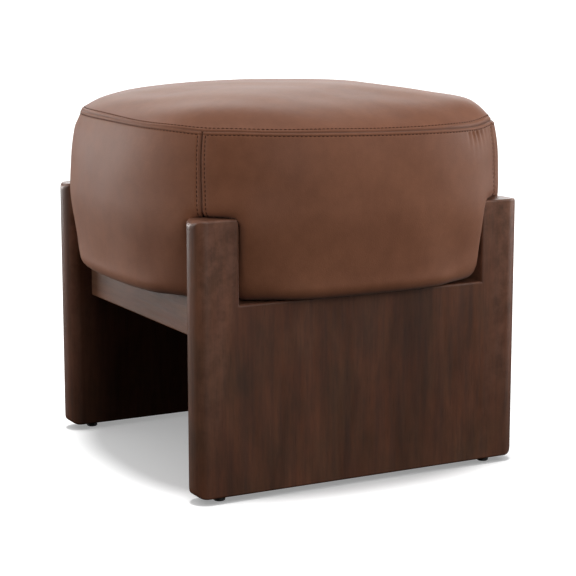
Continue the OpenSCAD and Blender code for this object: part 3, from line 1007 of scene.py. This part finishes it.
def stitch_row(path, normals):
    """All stitches along a path of points on the leather."""
    length = run_length(path)
    count = max(int(length[-1] / STITCH_PITCH), 1)
    step = length[-1] / count
    stitches = []
    half = STITCH_SHARE / 2
    for i in range(count):
        at = np.linspace((i + 0.5 - half) * step, (i + 0.5 + half) * step, STITCH_RINGS)
        p = np.stack([np.interp(at, length, path[:, k]) for k in range(3)], 1)
        n = np.stack([np.interp(at, length, normals[:, k]) for k in range(3)], 1)
        n /= np.linalg.norm(n, axis=1, keepdims=True)
        stitches.append(stitch(p, n))
    return stitches


def joined(name, parts):
    """One object from many small meshes."""
    points, faces = [], []
    for more_points, more_faces in parts:
        start = len(points)
        points += list(more_points)
        faces += [[q + start for q in f] for f in more_faces]
    return faces_outwards(mesh_object(name, points, faces))


# ---- cushion: putting it together ------------------------

# Depth of the fibre wrap under the leather's face, and its thickness
FIBRE_DEPTH = 0.0062
FIBRE_T = 0.006


def build_side_leather(leather):
    """The four side panels; gives back the angles of their columns and their rows of stitches."""
    front_right, rear_right, rear_left, front_left = SEAM_ANGLES
    spans = (
        ("leather_right", "cover_right", front_right, rear_right),
        ("leather_rear", "cover_rear", rear_right, rear_left),
        ("leather_left", "cover_left", rear_left, front_left),
        ("leather_front", "cover_front", front_left, 360 + front_right),
    )
    around, stitches = [], []
    for name, node, start, end in spans:
        angles, p, n, from_seam = side_panel_points(start, end)
        around.append(angles[:-1])
        panel = closed_shell(name, p, p - n * LEATHER_T)
        paint_seam_shade(panel, from_seam)
        finish_piece(panel, leather, "leather", node)
        stitches += stitch_row(p[STITCH_ROW, STITCH_ROW:-STITCH_ROW], n[STITCH_ROW, STITCH_ROW:-STITCH_ROW])
        for col in (STITCH_ROW, len(angles) - 1 - STITCH_ROW):
            seen = p[:, col, 2] > LEDGE_Z + 0.001
            seen[:STITCH_ROW] = False
            stitches += stitch_row(p[seen, col], n[seen, col])
    return np.concatenate(around), stitches


def build_cushion():
    """The leather cover, its stitching, and the fibre inside it."""
    leather = leather_material()
    angles, stitches = build_side_leather(leather)
    p, n, from_seam = top_points(angles)
    top = closed_shell("leather_top", p, p - n * LEATHER_T, True)
    paint_seam_shade(top, from_seam)
    fill_ends(top, p.shape)
    finish_piece(top, leather, "leather", "cover_top")
    path, normals = (np.concatenate([grid[STITCH_ROW], grid[STITCH_ROW, :1]]) for grid in (p, n))
    stitches += stitch_row(path, normals)
    finish_piece(joined("stitching", stitches), thread_material(), "leather")
    build_fibre(angles, p, n)


def fill_ends(top, shape):
    """Closes the small round left in the middle of the top, inside and out."""
    rows, cols = shape[:2]
    n = rows * cols
    last = (rows - 1) * cols
    bm = bmesh.new()
    bm.from_mesh(top.data)
    bm.verts.ensure_lookup_table()
    rim = [f for f in bm.faces if all(v.index % n >= last for v in f.verts)]
    bmesh.ops.delete(bm, geom=rim, context="FACES_ONLY")
    bm.verts.ensure_lookup_table()
    bm.faces.new([bm.verts[last + i] for i in range(cols)])
    bm.faces.new([bm.verts[n + last + cols - 1 - i] for i in range(cols)])
    bmesh.ops.recalc_face_normals(bm, faces=bm.faces)
    for face in bm.faces:
        face.smooth = True
    bm.to_mesh(top.data)
    bm.free()


def build_fibre(angles, top, top_normals):
    """The fibre wrap, just inside the leather."""
    side = relaxed_side(angles, NEAR[:1], 50)[1:]
    grid = np.concatenate([top[::-3], side])[1:]
    normals = np.concatenate([top_normals[::-3], outward(side, True)])[1:]
    outer = clear_of_posts(grid - normals * FIBRE_DEPTH)
    inner = grid - normals * (FIBRE_DEPTH + FIBRE_T)
    wrap = closed_shell("fibre_layer", outer, inner, True)
    finish_piece(wrap, fibre_material("fibre_white", (0.82, 0.81, 0.78), 260), "fibre", "fibre_wrap")


# ---- dust cover ------------------------------------------

# How far the cloth hangs in its middle, and its fine waves
SAG = 0.0045
RIPPLE = 0.0004
CLOTH_COLS = 49
CLOTH_ROWS = 53


def build_dust_cover():
    """Thin cloth under the deck, hanging a little between its stapled edges."""
    low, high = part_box("dust_cover")
    u, v = np.meshgrid(np.linspace(0, 1, CLOTH_COLS), np.linspace(0, 1, CLOTH_ROWS))
    hang = np.sin(math.pi * u) * np.sin(math.pi * v)
    z = high.z - SAG * hang**0.6 + RIPPLE * np.sin(9 * math.pi * u) * hang
    top = np.stack([low.x + (high.x - low.x) * u, low.y + (high.y - low.y) * v, z], -1)
    cloth = closed_shell("dust_cloth", top, top - (0, 0, high.z - low.z))
    black = woven_material("cloth_black", (0.008, 0.008, 0.008), (0.03, 0.03, 0.03), 700)
    finish_piece(cloth, black, "dust_cloth", "dust_cover")


# ---- CAD nodes that stay ---------------------------------


def paint_nodes():
    """Gives each CAD node that stays the material of the longest matching start of its name."""
    beech = plain_wood_material("beech_raw", (0.52, 0.34, 0.19), (0.40, 0.25, 0.13), (1, 0.08, 1))
    ply = plain_wood_material("plywood_raw", (0.56, 0.40, 0.24), (0.44, 0.29, 0.16), (0.08, 1, 1))
    steel = steel_material()
    nylon = nylon_material()
    strap = woven_material("webbing_black", (0.012, 0.012, 0.012), (0.05, 0.05, 0.05), 350)
    foam = fibre_material("foam_cream", (0.75, 0.68, 0.48), 500)
    kinds = {
        "cleat": beech, "rail_dowels": beech, "frame_blocks": beech, "seat_deck": ply, "frame_ring": ply,
        "cleat_screws": steel, "deck_screws": steel, "deck_washers": steel, "frame_screws": steel,
        "webbing_staples": steel, "cover_staples": steel, "glide_inserts": steel, "glide_stem": steel,
        "glide_pad": nylon, "webbing_a": strap, "foam": foam,
    }
    for name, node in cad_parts.items():
        found = [key for key in kinds if name.startswith(key)]
        if found:
            node.data.materials.clear()
            node.data.materials.append(kinds[max(found, key=len)])


# ---- floor, light and camera -----------------------------

FLOOR_HALF = 60
MIDDLE = (0, 0, 0.3)
# Name, place, width and height, and power of each soft light
SOFTBOXES = (
    ("softbox_left", (-2.2, -1.6, 0.65), (1.6, 1.2), 54),
    ("softbox_right", (0.8, 2.6, 1.0), (2.0, 1.8), 74),
    ("softbox_front", (-0.3, -2.7, 1.0), (1.6, 1.2), 30),
    ("softbox_back", (-2.4, 1.3, 1.45), (3.0, 1.2), 54),
    ("softbox_top", (0.0, 0.0, 2.4), (2.2, 2.2), 25),
    ("fill_front", (2.7, 0.0, 1.2), (1.4, 1.6), 34),
)
# Name, direction, strength, and width in degrees of each light on the floor
FLOOR_LIGHTS = (
    ("floor_key", (0.0, 0.02, -1.0), 2.6, 10),
    ("floor_fill", (0.0, 0.1, -1.0), 1.2, 120),
)
# Heights over which the sky brightens, from 0 at the bottom to 1 at the top, and how bright it gets
SKY_FROM = 0.3
SKY_FULL = 0.7
SKY_STRENGTH = 0.25


def build_floor():
    size = FLOOR_HALF
    corners = [(-size, -size, 0), (size, -size, 0), (size, size, 0), (-size, size, 0)]
    floor = mesh_object("floor", corners, [(0, 1, 2, 3)])
    floor.data.materials.append(floor_material())
    floor.visible_diffuse = False
    floor.visible_glossy = False
    return floor


def add_light(data, direction, place=(0, 0, 0)):
    """A light at that place, shining in that direction."""
    light = bpy.data.objects.new(data.name, data)
    light.location = place
    light.rotation_euler = Vector(direction).to_track_quat("-Z", "Y").to_euler()
    scene.collection.objects.link(light)
    return light


def softbox(name, place, size, power):
    """A rectangular light, aimed at the middle of the pouf."""
    data = bpy.data.lights.new(name, "AREA")
    data.shape = "RECTANGLE"
    data.size, data.size_y = size
    data.energy = power
    return add_light(data, Vector(MIDDLE) - Vector(place), place)


def sun_light(name, direction, strength, angle):
    data = bpy.data.lights.new(name, "SUN")
    data.energy = strength
    data.angle = math.radians(angle)
    return add_light(data, direction)


def only_for(light, pieces, state):
    """Keeps a light on those pieces alone, or off them."""
    group = bpy.data.collections.new(light.name + "_receivers")
    light.light_linking.receiver_collection = group
    for piece in pieces:
        group.objects.link(piece)
    for entry in group.collection_objects:
        entry.light_linking.link_state = state


def build_lights(floor):
    """Soft lights on the pouf, and two more on the floor alone, which keep its shadow soft and short."""
    far_side = [bpy.data.objects[name] for name in ("side_panel_left", "rail_board_front")]
    for name, *settings in SOFTBOXES:
        kept_off = [floor] + (far_side if name == "softbox_right" else [])
        only_for(softbox(name, *settings), kept_off, "EXCLUDE")
    for settings in FLOOR_LIGHTS:
        only_for(sun_light(*settings), [floor], "INCLUDE")


def build_world():
    """Pale light from above, dark from below, before a white backdrop."""
    world = bpy.data.worlds.new("studio")
    scene.world = world
    world.use_nodes = True
    nodes, links = world.node_tree.nodes, world.node_tree.links
    coord = nodes.new("ShaderNodeTexCoord")
    split = nodes.new("ShaderNodeSeparateXYZ")
    sky = nodes.new("ShaderNodeMapRange")
    steps = (("From Min", SKY_FROM), ("From Max", SKY_FULL), ("To Min", 0.0), ("To Max", SKY_STRENGTH))
    for key, value in steps:
        sky.inputs[key].default_value = value
    seen = nodes.new("ShaderNodeLightPath")
    strength = nodes.new("ShaderNodeMath")
    strength.operation = "MAXIMUM"
    links.new(coord.outputs["Generated"], split.inputs["Vector"])
    links.new(split.outputs["Z"], sky.inputs["Value"])
    links.new(seen.outputs["Is Camera Ray"], strength.inputs[0])
    links.new(sky.outputs["Result"], strength.inputs[1])
    links.new(strength.outputs["Value"], nodes["Background"].inputs["Strength"])
    nodes["Background"].inputs["Color"].default_value = (1, 1, 1, 1)


CAMERA_PLACE = (2.0347, -1.0755, 0.6193)
# How far the camera looks down and how far it stands round from the open front, in degrees
CAMERA_DOWN = 10.297
CAMERA_ROUND = 61.896
CAMERA_LENS = 115.396


def build_camera():
    data = bpy.data.cameras.new("camera")
    data.sensor_width = 36
    data.lens = CAMERA_LENS
    data.clip_end = 200
    camera = bpy.data.objects.new("camera", data)
    camera.location = CAMERA_PLACE
    camera.rotation_euler = (math.radians(90 - CAMERA_DOWN), 0, math.radians(CAMERA_ROUND))
    scene.collection.objects.link(camera)
    scene.camera = camera
    scene.view_settings.view_transform = "Standard"


# ---- the scene -------------------------------------------

build_camera()
build_base()
build_cushion()
build_dust_cover()
paint_nodes()
build_lights(build_floor())
build_world()
